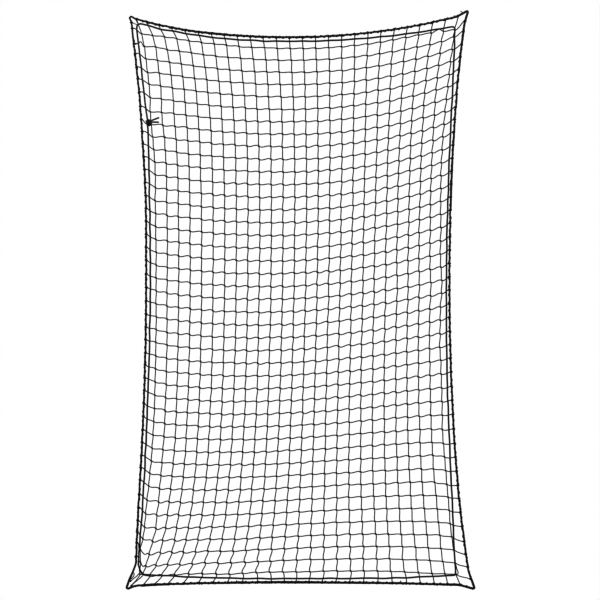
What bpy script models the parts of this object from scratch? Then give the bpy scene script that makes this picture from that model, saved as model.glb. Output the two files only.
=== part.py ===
"""Pitch back rebounder net, hung by its four corners.

A square-mesh net inside a lashed border rope, with a lacing cord threaded round the first
row of meshes and tied in an overhand knot. Metres, +Z up, +X to the right, and the side
that faces the player towards -Y. The origin is the top left corner eye of the border rope,
where the first hook holds the net.

The lacing cord lies in front, the twines that run across behind it, and the twines that run
down behind those, each a fixed gap clear of the next. All of them follow one hung surface.
"""

import math

import bpy
import numpy as np

# Counts
COLUMNS = 26
ROWS = 43
ROWS_PER_TWINE = 3

# Diameters and clearances
TWINE_D = 0.003
ROPE_D = 0.008
LASHING_D = 0.0025
TIE_D = 0.0025
CORD_D = 0.005
GAP = 0.0003

# Corners of the border rope, x and z
CORNERS = {
    "top_left": (0.000, 0.000),
    "top_right": (1.253, 0.020),
    "bottom_right": (1.278, -2.125),
    "bottom_left": (-0.013, -2.124),
}

# Each side of the border: its two corners, how far it bows towards the middle of the net,
# and the power that makes the bow fuller (below 1) than a parabola
SIDES = {
    "top": ("top_left", "top_right", 0.086, 0.85),
    "right": ("top_right", "bottom_right", 0.078, 0.80),
    "bottom": ("bottom_right", "bottom_left", 0.022, 0.45),
    "left": ("bottom_left", "top_left", 0.065, 0.80),
}

# Where the rope kinks near a corner: its side, the end of the side it is near (0 or 1), how
# far along it is, how far it is drawn towards the net, and how far the pull eases off
KINKS = (
    ("top", 1, 0.031, 0.0040, 0.066),
    ("right", 1, 0.030, 0.0055, 0.250),
    ("bottom", 0, 0.047, 0.0035, 0.060),
    ("left", 0, 0.043, 0.0215, 0.070),
)

# Where the rope's bow swells or hollows: its side, how far along, how far inwards, and reach
SWELLS = (
    ("left", 0.69, 0.0032, 0.08),
    ("left", 0.94, -0.0026, 0.05),
    ("top", 0.18, 0.0016, 0.06),
    ("right", 0.18, -0.0012, 0.15),
    ("right", 0.80, 0.0012, 0.12),
)

# The hung surface of the netting: four guide lines, a third of the width apart, each read
# from the top down in quarters, as x and z. Column 0 and row 0 of the mesh lie on its edges.
GUIDES = (
    ((-0.011, 0.005), (0.047, -0.532), (0.054, -1.063), (0.040, -1.601), (-0.050, -2.135)),
    ((0.398, -0.062), (0.436, -0.574), (0.435, -1.098), (0.418, -1.619), (0.357, -2.118)),
    ((0.835, -0.059), (0.829, -0.562), (0.821, -1.080), (0.813, -1.601), (0.825, -2.105)),
    ((1.264, 0.028), (1.204, -0.482), (1.193, -1.021), (1.209, -1.577), (1.272, -2.135)),
)

# Where the corners draw a few meshes out of that surface: the column and row at the middle
# of the pull, its x and z, and how many columns and rows it reaches
PULLS = (
    (2.5, 0.0, -0.012, 0.000, 3.0, 0.8),
    (13.0, 0.6, 0.000, -0.003, 9.0, 1.2),
    (1.0, 1.0, 0.000, -0.008, 1.5, 2.0),
    (26.0, 1.0, 0.000, -0.016, 1.2, 0.8),
    (1.3, 7.5, -0.0055, -0.0045, 1.5, 1.3),
    (26.3, 12.0, -0.0050, 0.000, 1.0, 3.5),
    (25.6, 21.4, 0.0065, 0.000, 2.0, 1.1),
    (26.3, 35.5, 0.002, -0.0095, 0.9, 5.0),
    (1.0, 35.8, 0.000, 0.0070, 0.8, 1.2),
    (1.6, 39.2, 0.0050, -0.002, 1.5, 0.9),
    (2.0, 41.3, -0.002, -0.0075, 0.6, 1.4),
    (4.0, 44.0, -0.032, 0.000, 2.5, 1.5),
    (5.0, 43.5, 0.0080, 0.0115, 3.5, 0.9),
    (20.0, 42.8, -0.0050, 0.000, 3.0, 1.3),
    (1.0, 42.5, 0.034, 0.015, 0.8, 2.0),
    (1.0, 41.6, -0.017, 0.006, 0.6, 0.9),
)

# How far above its last mesh knot a row meets the border rope, from the top down in thirds
RISE_LEFT = (0.019, 0.020, 0.022, 0.026)
RISE_RIGHT = (0.017, 0.017, 0.006, -0.019)

# The slight belly and wave of the hung net, front to back: depth, half waves across and down
WAVES = ((0.010, 1, 1), (0.003, 2, 2))
WAVE_WIDTH = 1.26
WAVE_HEIGHT = 2.13

# Route of the lacing cord, clockwise from above its knot to below it
LACING_ROUTE = (
    (0.0640, -0.3790), (0.0580, -0.3440), (0.0525, -0.2950), (0.0450, -0.2280),
    (0.0335, -0.1300), (0.0255, -0.0640), (0.0235, -0.0440), (0.0260, -0.0300),
    (0.0350, -0.0255), (0.0500, -0.0280), (0.1060, -0.0445), (0.1500, -0.0520),
    (0.2510, -0.0690), (0.3530, -0.0810), (0.4560, -0.0880), (0.6100, -0.0915),
    (0.7630, -0.0870), (0.8660, -0.0805), (0.9680, -0.0705), (1.0700, -0.0570),
    (1.1600, -0.0435), (1.1860, -0.0390), (1.1985, -0.0385), (1.2055, -0.0415),
    (1.2070, -0.0500), (1.2055, -0.0740), (1.2055, -0.1150), (1.2010, -0.2120),
    (1.1910, -0.4180), (1.1830, -0.6240), (1.1780, -0.8320), (1.1760, -1.0400),
    (1.1770, -1.2460), (1.1820, -1.4530), (1.1900, -1.6590), (1.2000, -1.8650),
    (1.2040, -1.9850), (1.2080, -2.0400), (1.2080, -2.0600), (1.2050, -2.0730),
    (1.1935, -2.0775), (1.1280, -2.0810), (1.0110, -2.0860), (0.8100, -2.0885),
    (0.6210, -2.0890), (0.4320, -2.0885), (0.2420, -2.0840), (0.1640, -2.0805),
    (0.1150, -2.0770), (0.0710, -2.0760), (0.0520, -2.0750), (0.0455, -2.0710),
    (0.0380, -2.0610), (0.0335, -2.0470), (0.0305, -2.0370), (0.0320, -2.0130),
    (0.0320, -1.9885), (0.0360, -1.9400), (0.0470, -1.8020), (0.0570, -1.6120),
    (0.0650, -1.4210), (0.0710, -1.2300), (0.0740, -1.0390), (0.0740, -0.8480),
    (0.0715, -0.6570), (0.0670, -0.4655), (0.0655, -0.4050),
)
CORD_STEP = 0.09

# The overhand knot that joins the ends of the lacing cord
KNOT_CENTRE = (0.0690, -0.3915)
KNOT_SIZE = (0.021, 0.015, 0.025)
KNOT_SEGMENTS = 12
KNOT_RINGS = 8

# Free tails past the knot: how far above its middle each starts, how many degrees it tips up
# and leans back, and its length
TAILS = {
    "upper": (0.0052, 21.0, 0.0, 0.030),
    "lower": (-0.0008, 2.0, 31.0, 0.030),
}
TAIL_POINTS = 4

# The border rope turns round each corner eye on this radius
EYE_RADIUS = 0.006
EYE_ANGLES = (-70, -35, 0, 35, 70)

# The corner tie holds the lacing cord to the left leg of the rope, this far down the leg
TIE_DROP = 0.022
TIE_CORD_END = (0.025, -0.030)

# Layers, front to back, as the middle of each family of strands
LAYER_GAP = 0.0008
ROW_Y = -(TWINE_D + LAYER_GAP) / 2
COLUMN_Y = (TWINE_D + LAYER_GAP) / 2
LACING_Y = ROW_Y - (TWINE_D + CORD_D) / 2 - LAYER_GAP
KNOT_Y = ROW_Y - (TWINE_D + KNOT_SIZE[1]) / 2 - GAP

# How far the ends and the turns of the twines stay from the middle of the rope
LASHING_OFFSET = (ROPE_D + LASHING_D) / 2 + GAP
END_OFFSET = ROPE_D / 2 + LASHING_D + 3 * GAP
TURN_OFFSET = END_OFFSET + TWINE_D / 2 + GAP
TIE_OFFSET = ROPE_D / 2 + TIE_D + 3 * GAP

# How finely the solids follow their curves
SIDE_POINTS = 18
SIDE_TRIM = 0.02
TWINE_STEPS = 9
FINE = 2
COARSE = 1

TWINE_COLOUR = (0.012, 0.012, 0.013)
ROPE_COLOUR = (0.010, 0.010, 0.011)
CORD_COLOUR = (0.014, 0.014, 0.015)


def clear_scene():
    for obj in list(bpy.data.objects):
        bpy.data.objects.remove(obj)


def part_collection():
    group = bpy.data.collections.new("pitch_back_rebounder")
    bpy.context.scene.collection.children.link(group)
    return group


def give_material(obj, colour, roughness):
    """Each part has its own black plastic."""
    material = bpy.data.materials.new(obj.name)
    material.use_nodes = True
    shader = material.node_tree.nodes["Principled BSDF"]
    shader.inputs["Base Color"].default_value = (*colour, 1.0)
    shader.inputs["Roughness"].default_value = roughness
    shader.inputs["Metallic"].default_value = 0.0
    obj.data.materials.append(material)


def through_values(values, t):
    """The polynomial through values that are evenly spaced from t = 0 to t = 1."""
    last = len(values) - 1
    total = np.zeros_like(np.asarray(values[0], float))
    for k, value in enumerate(values):
        weight = 1.0
        for m in range(last + 1):
            if m != k:
                weight *= (last * t - m) / (k - m)
        total = total + weight * np.asarray(value, float)
    return total


def knot(column, row):
    """The x and z where a column meets a row. 0 and the count plus 1 are the edges."""
    t = row / (ROWS + 1)
    lines = [through_values(line, t) for line in GUIDES]
    place = through_values(lines, column / (COLUMNS + 1))
    for at_column, at_row, x, z, reach_columns, reach_rows in PULLS:
        far = ((column - at_column) / reach_columns) ** 2 + ((row - at_row) / reach_rows) ** 2
        place = place + math.exp(-far) * np.array((x, z))
    return place


def side_point(side, t):
    """A point of the border rope, t from the side's first corner to its second."""
    first, second, bow, power = SIDES[side]
    a = np.array(CORNERS[first])
    b = np.array(CORNERS[second])
    along = (b - a) / np.linalg.norm(b - a)
    inwards = np.array((along[1], -along[0]))
    depth = bow * (4 * t * (1 - t)) ** power
    for kinked, end, at, pull, reach in KINKS:
        if kinked == side:
            far = t if end == 0 else 1 - t
            depth += pull * (far / at if far < at else math.exp((at - far) / reach))
    for swelling, at, swell, reach in SWELLS:
        if swelling == side:
            depth += swell * math.exp(-(((t - at) / reach) ** 2))
    return a + (b - a) * t + inwards * depth


def side_inwards(side, t):
    """The unit direction from the rope towards the net."""
    step = 1e-4
    along = side_point(side, t + step) - side_point(side, t - step)
    along /= np.linalg.norm(along)
    return np.array((along[1], -along[0]))


def side_where(side, axis, value):
    """The t at which a side reaches a given x (axis 0) or z (axis 1)."""
    low, high = SIDE_TRIM, 1 - SIDE_TRIM
    rising = side_point(side, high)[axis] > side_point(side, low)[axis]
    for _ in range(40):
        middle = (low + high) / 2
        if (side_point(side, middle)[axis] < value) == rising:
            low = middle
        else:
            high = middle
    return (low + high) / 2


def hang(x, z, layer):
    """A point in space on the hung net, with its layer and the waves of the surface."""
    across = math.pi * x / WAVE_WIDTH
    down = -math.pi * z / WAVE_HEIGHT
    wave = sum(depth * math.sin(m * across) * math.sin(n * down) for depth, m, n in WAVES)
    return (x, layer + wave, z)


def tube(name, points, diameter, colour, resolution=FINE, closed=False):
    """A round strand along points in space, with its ends filled."""
    data = bpy.data.curves.new(name, "CURVE")
    data.dimensions = "3D"
    data.bevel_depth = diameter / 2
    data.bevel_resolution = resolution
    data.use_fill_caps = not closed
    spline = data.splines.new("POLY")
    spline.points.add(len(points) - 1)
    for place, point in zip(spline.points, points):
        place.co = (*point, 1.0)
    spline.use_cyclic_u = closed
    spline.use_smooth = True
    obj = bpy.data.objects.new(name, data)
    PARTS.objects.link(obj)
    give_material(obj, colour, 0.55)
    return obj


def smooth_route(points, step):
    """Points along a smooth curve through a hand-set route."""
    route = [np.array(p) for p in points]
    route = [2 * route[0] - route[1], *route, 2 * route[-1] - route[-2]]
    result = []
    for p0, p1, p2, p3 in zip(route, route[1:], route[2:], route[3:]):
        span = np.linalg.norm(p2 - p1)
        before = (p2 - p0) * span / (span + np.linalg.norm(p1 - p0))
        after = (p3 - p1) * span / (span + np.linalg.norm(p3 - p2))
        count = max(2, math.ceil(span / step))
        for k in range(count):
            u = k / count
            result.append(
                (2 * u**3 - 3 * u**2 + 1) * p1
                + (u**3 - 2 * u**2 + u) * before
                + (3 * u**2 - 2 * u**3) * p2
                + (u**3 - u**2) * after
            )
    result.append(route[-2])
    return result


def edge_place(side, t, offset):
    return side_point(side, t) + side_inwards(side, t) * offset


def row_end(row, side):
    """Where a row meets the rope on the left or the right, as that side's t."""
    if side == "left":
        last, rise = knot(1, row), RISE_LEFT
    else:
        last, rise = knot(COLUMNS, row), RISE_RIGHT
    return side_where(side, 1, last[1] + float(through_values(rise, row / (ROWS + 1))))


def row_points(row, left_offset, right_offset):
    """A row from left to right, as x and z."""
    inner = [knot(c, row) for c in np.linspace(1, COLUMNS, TWINE_STEPS)]
    left = edge_place("left", row_end(row, "left"), left_offset)
    right = edge_place("right", row_end(row, "right"), right_offset)
    return [left, *inner, right]


def make_row_twines():
    """Each twine runs across, turns at the border and comes back, for three rows."""
    count = 0
    for first in range(1, ROWS + 1, ROWS_PER_TWINE):
        rows = range(first, min(first + ROWS_PER_TWINE, ROWS + 1))
        points = []
        for place, row in enumerate(rows):
            leftwards = place % 2 == 1
            starts_free = place == 0
            ends_free = row == rows[-1]
            start = END_OFFSET if starts_free else TURN_OFFSET
            end = END_OFFSET if ends_free else TURN_OFFSET
            if leftwards:
                points += row_points(row, end, start)[::-1]
            else:
                points += row_points(row, start, end)
        count += 1
        hung = [hang(x, z, ROW_Y) for x, z in points]
        tube(f"row_twine_{count:02d}", hung, TWINE_D, TWINE_COLOUR, COARSE)


def make_column_twines():
    """Each twine runs from the top of the border down to the bottom."""
    for column in range(1, COLUMNS + 1):
        top = side_where("top", 0, knot(column, 0)[0])
        bottom = side_where("bottom", 0, knot(column, ROWS + 1)[0])
        inner = [knot(column, r) for r in np.linspace(1, ROWS, TWINE_STEPS)]
        points = [edge_place("top", top, END_OFFSET), *inner]
        points.append(edge_place("bottom", bottom, END_OFFSET))
        hung = [hang(x, z, COLUMN_Y) for x, z in points]
        tube(f"column_twine_{column:02d}", hung, TWINE_D, TWINE_COLOUR, COARSE)


def side_steps():
    """Places along a side, closer together near its corners."""
    for k in range(SIDE_POINTS):
        even = (1 - math.cos(math.pi * k / (SIDE_POINTS - 1))) / 2
        yield SIDE_TRIM + (1 - 2 * SIDE_TRIM) * even


def corner_inwards(corner):
    """The unit direction from a corner of the rope into the net, between its two legs."""
    legs = []
    for side, (first, second, _, _) in SIDES.items():
        if corner in (first, second):
            t = SIDE_TRIM if corner == first else 1 - SIDE_TRIM
            leg = side_point(side, t) - np.array(CORNERS[corner])
            legs.append(leg / np.linalg.norm(leg))
    middle = legs[0] + legs[1]
    return middle / np.linalg.norm(middle)


def make_border_rope():
    """One rope all the way round, turned back in a narrow eye at each corner."""
    points = []
    for side, (_, second, _, _) in SIDES.items():
        points += [side_point(side, t) for t in side_steps()]
        inwards = corner_inwards(second)
        sideways = np.array((-inwards[1], inwards[0]))
        eye = np.array(CORNERS[second]) + inwards * EYE_RADIUS
        for degrees in EYE_ANGLES:
            turn = math.radians(degrees)
            outwards = -inwards * math.cos(turn) + sideways * math.sin(turn)
            points.append(eye + outwards * EYE_RADIUS)
    hung = [hang(x, z, 0.0) for x, z in points]
    tube("border_rope", hung, ROPE_D, ROPE_COLOUR, FINE, closed=True)


def make_lashings():
    """The twine that binds each edge of the netting to the rope runs along its inner side."""
    for side in SIDES:
        steps = list(side_steps())[2:-2]
        points = [edge_place(side, t, LASHING_OFFSET) for t in steps]
        hung = [hang(x, z, 0.0) for x, z in points]
        tube(f"lashing_{side}", hung, LASHING_D, TWINE_COLOUR)


def make_lacing_cord():
    points = smooth_route(LACING_ROUTE, CORD_STEP)
    hung = [hang(x, z, LACING_Y) for x, z in points]
    tube("lacing_cord", hung, CORD_D, CORD_COLOUR)


def make_lacing_knot():
    """The pulled-up overhand knot, as one rounded lump."""
    bpy.ops.mesh.primitive_uv_sphere_add(
        segments=KNOT_SEGMENTS,
        ring_count=KNOT_RINGS,
        radius=0.5,
        location=hang(*KNOT_CENTRE, KNOT_Y),
    )
    obj = bpy.context.object
    obj.name = "lacing_cord_knot"
    obj.scale = KNOT_SIZE
    bpy.ops.object.transform_apply(location=False, rotation=False, scale=True)
    for owner in list(obj.users_collection):
        owner.objects.unlink(obj)
    PARTS.objects.link(obj)
    obj.data.shade_smooth()
    give_material(obj, CORD_COLOUR, 0.5)


def make_tails():
    """The two ends of the lacing cord stand out of the knot in front of the first column."""
    for name, (above, tip, lean, length) in TAILS.items():
        angle = math.radians(tip)
        back = math.radians(lean)
        start_x = KNOT_CENTRE[0] + KNOT_SIZE[0] / 2 + GAP
        start_z = KNOT_CENTRE[1] + above
        points = []
        for k in range(TAIL_POINTS):
            reach = length * k / (TAIL_POINTS - 1)
            x = start_x + reach * math.cos(back) * math.cos(angle)
            z = start_z + reach * math.cos(back) * math.sin(angle)
            points.append(hang(x, z, KNOT_Y + reach * math.sin(back)))
        tube(f"lacing_cord_tail_{name}", points, CORD_D, CORD_COLOUR)


def make_corner_tie():
    """A short tie from the left leg of the rope to the top left corner of the lacing cord."""
    height = CORNERS["top_left"][1] - CORNERS["bottom_left"][1]
    start = edge_place("left", 1 - TIE_DROP / height, TIE_OFFSET)
    points = [hang(*start, 0.0), hang(*TIE_CORD_END, 0.0)]
    tube("corner_tie", points, TIE_D, TWINE_COLOUR)


clear_scene()
PARTS = part_collection()
make_border_rope()
make_lashings()
make_column_twines()
make_row_twines()
make_lacing_cord()
make_lacing_knot()
make_tails()
make_corner_tie()
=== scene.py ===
"""Looks of the pitch back rebounder net: knotted polyethylene twine, laid border rope with its
lashing, threaded lacing cord with its knot, black throughout, hung in front of a pale studio.

Metres, +Z up, +X right, the player's side towards -Y, the origin at the top left corner eye.
The strands follow the same formulas as the CAD part, so every piece lies along its solid, but
for the small unevenness of a real net that only this script has.
"""

import math

import bpy
import numpy as np
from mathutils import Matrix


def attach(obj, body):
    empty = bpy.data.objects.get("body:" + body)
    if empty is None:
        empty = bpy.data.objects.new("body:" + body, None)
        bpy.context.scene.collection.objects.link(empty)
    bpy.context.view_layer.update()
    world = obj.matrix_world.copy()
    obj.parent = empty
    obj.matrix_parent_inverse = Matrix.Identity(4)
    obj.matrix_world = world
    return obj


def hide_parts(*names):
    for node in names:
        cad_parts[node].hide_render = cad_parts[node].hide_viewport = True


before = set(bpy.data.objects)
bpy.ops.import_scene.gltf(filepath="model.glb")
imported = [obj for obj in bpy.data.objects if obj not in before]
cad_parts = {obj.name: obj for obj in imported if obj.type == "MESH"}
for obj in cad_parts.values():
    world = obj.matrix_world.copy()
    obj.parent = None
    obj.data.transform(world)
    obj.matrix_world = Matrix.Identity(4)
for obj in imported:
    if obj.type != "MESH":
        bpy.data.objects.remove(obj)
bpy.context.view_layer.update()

# ---- the part's own numbers
COLUMNS = 26
ROWS = 43
ROWS_PER_TWINE = 3
CORNERS = {
    "top_left": (0.0, 0.0),
    "top_right": (1.253, 0.02),
    "bottom_right": (1.278, -2.125),
    "bottom_left": (-0.013, -2.124),
}
SIDES = {
    "top": ("top_left", "top_right", 0.086, 0.85),
    "right": ("top_right", "bottom_right", 0.078, 0.8),
    "bottom": ("bottom_right", "bottom_left", 0.022, 0.45),
    "left": ("bottom_left", "top_left", 0.065, 0.8),
}
KINKS = (
    ("top", 1, 0.031, 0.004, 0.066),
    ("right", 1, 0.03, 0.0055, 0.25),
    ("bottom", 0, 0.047, 0.0035, 0.06),
    ("left", 0, 0.043, 0.018, 0.08),
)
SWELLS = (
    ("left", 0.69, 0.0032, 0.08),
    ("left", 0.94, -0.0026, 0.05),
    ("top", 0.18, 0.0016, 0.06),
    ("right", 0.18, -0.0012, 0.15),
    ("right", 0.8, 0.0012, 0.12),
    ("right", 0.39, -0.0013, 0.06),
)
GUIDES = (
    ((-0.011, 0.005), (0.047, -0.532), (0.054, -1.063), (0.04, -1.601), (-0.05, -2.135)),
    ((0.398, -0.062), (0.436, -0.574), (0.435, -1.098), (0.418, -1.619), (0.357, -2.118)),
    ((0.835, -0.059), (0.829, -0.562), (0.821, -1.08), (0.813, -1.601), (0.825, -2.105)),
    ((1.264, 0.028), (1.204, -0.482), (1.193, -1.021), (1.209, -1.577), (1.272, -2.135)),
)
PULLS = (
    (2.5, 0, -0.012, 0, 3, 0.8),
    (13, 0.6, 0, -0.003, 9, 1.2),
    (1, 1, 0, -0.008, 1.5, 2),
    (26, 1, 0, -0.016, 1.2, 0.8),
    (1.3, 7.5, -0.0055, -0.0045, 1.5, 1.3),
    (26.3, 12, -0.005, 0, 1, 3.5),
    (25.6, 21.4, 0.0065, 0, 2, 1.1),
    (26.3, 35.5, 0.002, -0.0095, 0.9, 5),
    (1, 35.8, 0, 0.007, 0.8, 1.2),
    (1.6, 39.2, 0.005, -0.002, 1.5, 0.9),
    (2, 41.3, -0.002, -0.0075, 0.6, 1.4),
    (4, 44, -0.032, 0, 2.5, 1.5),
    (5, 43.5, 0.008, 0.0115, 3.5, 0.9),
    (20, 42.8, -0.005, 0, 3, 1.3),
    (1, 42.5, 0.034, 0.015, 0.8, 2),
    (1, 41.6, -0.017, 0.006, 0.6, 0.9),
)
RISE_LEFT = (0.019, 0.02, 0.022, 0.026)
RISE_RIGHT = (0.017, 0.017, 0.006, -0.019)
WAVES = ((0.01, 1, 1), (0.003, 2, 2))
WAVE_WIDTH = 1.26
WAVE_HEIGHT = 2.13
LACING_ROUTE = (
    (0.0656, -0.386), (0.064, -0.379), (0.058, -0.344), (0.0525, -0.295), (0.045, -0.228),
    (0.0335, -0.13), (0.0255, -0.064), (0.0235, -0.044), (0.026, -0.03),
    (0.035, -0.0255), (0.05, -0.028), (0.106, -0.0445), (0.15, -0.052),
    (0.251, -0.069), (0.353, -0.081), (0.456, -0.088), (0.61, -0.0915),
    (0.763, -0.087), (0.866, -0.0805), (0.968, -0.0705), (1.07, -0.057),
    (1.16, -0.0435), (1.186, -0.039), (1.1985, -0.0385), (1.2055, -0.0415),
    (1.207, -0.05), (1.2055, -0.074), (1.2055, -0.115), (1.201, -0.212),
    (1.191, -0.418), (1.183, -0.624), (1.1774, -0.8), (1.176, -1.04),
    (1.177, -1.246), (1.182, -1.453), (1.19, -1.659), (1.2, -1.865),
    (1.204, -1.985), (1.2085, -2.04), (1.209, -2.061), (1.207, -2.0725), (1.2045, -2.0762),
    (1.1935, -2.0776), (1.128, -2.081), (1.011, -2.086), (0.81, -2.0885),
    (0.621, -2.089), (0.432, -2.0885), (0.242, -2.084), (0.164, -2.0805),
    (0.115, -2.077), (0.071, -2.076), (0.052, -2.075), (0.0455, -2.071),
    (0.038, -2.061), (0.0335, -2.047), (0.0305, -2.037), (0.032, -2.013),
    (0.032, -1.9885), (0.036, -1.94), (0.047, -1.802), (0.057, -1.612),
    (0.065, -1.421), (0.071, -1.23), (0.074, -1.039), (0.074, -0.848),
    (0.0715, -0.657), (0.067, -0.4655), (0.0655, -0.405),
)
KNOT_CENTRE = (0.0702, -0.3946)
KNOT_SIZE = (0.023, 0.015, 0.026)
TAILS = {
    "upper": (0.0083, 21.0, 0.0, 0.03),
    "lower": (0.0023, 2.0, 31.0, 0.03),
}
KNOT_Y = -0.0112
TAIL_START = 0.0096
TIE_DROP = 0.022
TIE_CORD_END = (0.025, -0.03)
EYE_RADII = {
    "top_left": 0.0054,
    "top_right": 0.0036,
    "bottom_right": 0.004,
    "bottom_left": 0.005,
}
# How close to a side's corners a twine's end may lie, as a share of the side
SIDE_TRIM = 0.006
# How far along each side, from its start and from its end, the rope's straight legs reach
LEGS = {
    "top": (0.014, 0.03),
    "right": (0.016, 0.029),
    "bottom": (0.045, 0.024),
    "left": (0.042, 0.008),
}

# ---- the looks' own numbers
# Radius of each kind of strand, and the nominal diameter of the cord
TWINE_R = 0.00172
KNOT_R = 0.00124
HITCH_R = 0.0012
ROPE_R = 0.0031
LASH_R = 0.00125
CORD_R = 0.0029
TAIL_R = 0.00275
TIE_R = 0.0013
STUB_R = 0.0017
LOOP_R = 0.0016
CORD_D = 0.005

# Length of one turn of each strand's twist
TWINE_LAY = 0.015
LASH_LAY = 0.009
CORD_LAY = 0.017
ROPE_LAY = 0.026

# How deep the grooves between a strand's yarns are, as a share of its radius
TWINE_GROOVE = 0.1
KNOT_GROOVE = 0.08
CORD_GROOVE = 0.09
TAIL_GROOVE = 0.08

# How many sides each strand's mesh has
TWINE_SIDES = 6
CORD_SIDES = 9
ROPE_SIDES = 12

# How much the rows dip after each knot, from the top row down in sixths
SWAY = (0.45, 0.85, 1.05, 1.1, 1.0, 0.7, 0.25)
# Where a twine leaves its knot: along and across it, for the rows and for the columns
EXIT = (0.0034, 0.0017)
DROP_EXIT = (0.0009, 0.0036)
# How far the zigzag near the bottom sets that place aside, and how sharply it bends the twine
JOG_EXIT = 0.0024
JOG_BEND = 0.26
# How far off the bare rope's surface a twine's end lies
ON_ROPE = 0.0006

SENSOR_WIDTH = 36.0
CAMERA_DISTANCE = 8.0
FRAME_WIDTH = 2.231
FRAME_MIDDLE = (0.6311, -1.0531)
NET_MIDDLE = (0.633, 0.0, -1.055)

rng = np.random.default_rng(7)


# ---- camera
def make_camera():
    data = bpy.data.cameras.new("camera")
    data.sensor_width = SENSOR_WIDTH
    data.lens = SENSOR_WIDTH * CAMERA_DISTANCE / FRAME_WIDTH
    obj = bpy.data.objects.new("camera", data)
    obj.location = (FRAME_MIDDLE[0], -CAMERA_DISTANCE, FRAME_MIDDLE[1])
    obj.rotation_euler = (math.radians(90), 0.0, 0.0)
    bpy.context.scene.collection.objects.link(obj)
    bpy.context.scene.camera = obj


# ---- the part's formulas
def through_values(values, t):
    """The polynomial through values that are evenly spaced from t = 0 to t = 1."""
    last = len(values) - 1
    total = np.zeros_like(np.asarray(values[0], float))
    for k, value in enumerate(values):
        weight = 1.0
        for m in range(last + 1):
            if m != k:
                weight *= (last * t - m) / (k - m)
        total = total + weight * np.asarray(value, float)
    return total


def knot_place(column, row):
    """The x and z where a column meets a row. 0 and the count plus 1 are the edges."""
    t = row / (ROWS + 1)
    lines = [through_values(line, t) for line in GUIDES]
    place = through_values(lines, column / (COLUMNS + 1))
    for at_column, at_row, x, z, reach_columns, reach_rows in PULLS:
        far = ((column - at_column) / reach_columns) ** 2 + ((row - at_row) / reach_rows) ** 2
        place = place + math.exp(-far) * np.array((x, z))
    return place


def side_point(side, t):
    """A point of the border rope, t from the side's first corner to its second."""
    first, second, bow, power = SIDES[side]
    a = np.array(CORNERS[first])
    b = np.array(CORNERS[second])
    along = (b - a) / np.linalg.norm(b - a)
    inwards = np.array((along[1], -along[0]))
    depth = bow * (4 * t * (1 - t)) ** power
    for kinked, end, at, pull, reach in KINKS:
        if kinked == side:
            far = t if end == 0 else 1 - t
            depth += pull * (far / at if far < at else math.exp((at - far) / reach))
    for swelling, at, swell, reach in SWELLS:
        if swelling == side:
            depth += swell * math.exp(-(((t - at) / reach) ** 2))
    return a + (b - a) * t + inwards * depth


def side_along(side, t):
    step = 1e-4
    along = side_point(side, t + step) - side_point(side, t - step)
    return along / np.linalg.norm(along)


def side_inwards(side, t):
    """The unit direction from the rope towards the net."""
    along = side_along(side, t)
    return np.array((along[1], -along[0]))


def side_where(side, axis, value):
    """The t at which a side reaches a given x (axis 0) or z (axis 1)."""
    low, high = SIDE_TRIM, 1 - SIDE_TRIM
    rising = side_point(side, high)[axis] > side_point(side, low)[axis]
    for _ in range(40):
        middle = (low + high) / 2
        if (side_point(side, middle)[axis] < value) == rising:
            low = middle
        else:
            high = middle
    return (low + high) / 2


def hang(flat, layer=0.0):
    """Points in space from x and z pairs, with the slight waves of the hung net."""
    flat = np.asarray(flat, float)
    across = math.pi * flat[..., 0] / WAVE_WIDTH
    down = -math.pi * flat[..., 1] / WAVE_HEIGHT
    wave = sum(depth * np.sin(m * across) * np.sin(n * down) for depth, m, n in WAVES)
    return np.stack([flat[..., 0], wave + layer, flat[..., 1]], axis=-1)


def blend(start, end, leave, arrive, u):
    """The smooth curve between two points, at the share u of the way."""
    return (
        (2 * u**3 - 3 * u**2 + 1) * start
        + (u**3 - 2 * u**2 + u) * leave
        + (3 * u**2 - 2 * u**3) * end
        + (u**3 - u**2) * arrive
    )


def smooth_route(points, step):
    """Points along a smooth curve through a hand-set route."""
    route = [np.array(p) for p in points]
    route = [2 * route[0] - route[1], *route, 2 * route[-1] - route[-2]]
    result = []
    for p0, p1, p2, p3 in zip(route, route[1:], route[2:], route[3:]):
        span = np.linalg.norm(p2 - p1)
        before = (p2 - p0) * span / (span + np.linalg.norm(p1 - p0))
        after = (p3 - p1) * span / (span + np.linalg.norm(p3 - p2))
        count = max(2, math.ceil(span / step))
        result += [blend(p1, p2, before, after, k / count) for k in range(count)]
    result.append(route[-2])
    return np.array(result)


# ---- strands
def unit(v):
    return v / np.maximum(np.linalg.norm(v, axis=-1, keepdims=True), 1e-12)


def arc_lengths(paths):
    steps = np.linalg.norm(np.diff(paths, axis=1), axis=-1)
    return np.concatenate([np.zeros((len(paths), 1)), np.cumsum(steps, axis=1)], axis=1)


def evenly(path, count):
    """One path as so many evenly spaced points."""
    along = arc_lengths(path[None])[0]
    wanted = np.linspace(0.0, along[-1], count)
    return np.stack([np.interp(wanted, along, path[:, k]) for k in range(3)], axis=-1)


def resampled(path, step):
    """One path with points evenly spaced at about that step."""
    length = arc_lengths(path[None])[0][-1]
    return evenly(path, max(3, int(round(length / step)) + 1))


def carried_frames(paths):
    """Tangents and two cross directions, carried along each path without spinning."""
    tangents = unit(np.gradient(paths, axis=1))
    sideways = np.zeros_like(paths)
    start = np.cross(tangents[:, 0], (0.13, 0.98, 0.21))
    sideways[:, 0] = unit(start)
    for k in range(1, paths.shape[1]):
        last = sideways[:, k - 1]
        here = tangents[:, k]
        sideways[:, k] = unit(last - here * np.sum(last * here, axis=-1, keepdims=True))
    return tangents, sideways, np.cross(tangents, sideways)


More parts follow.
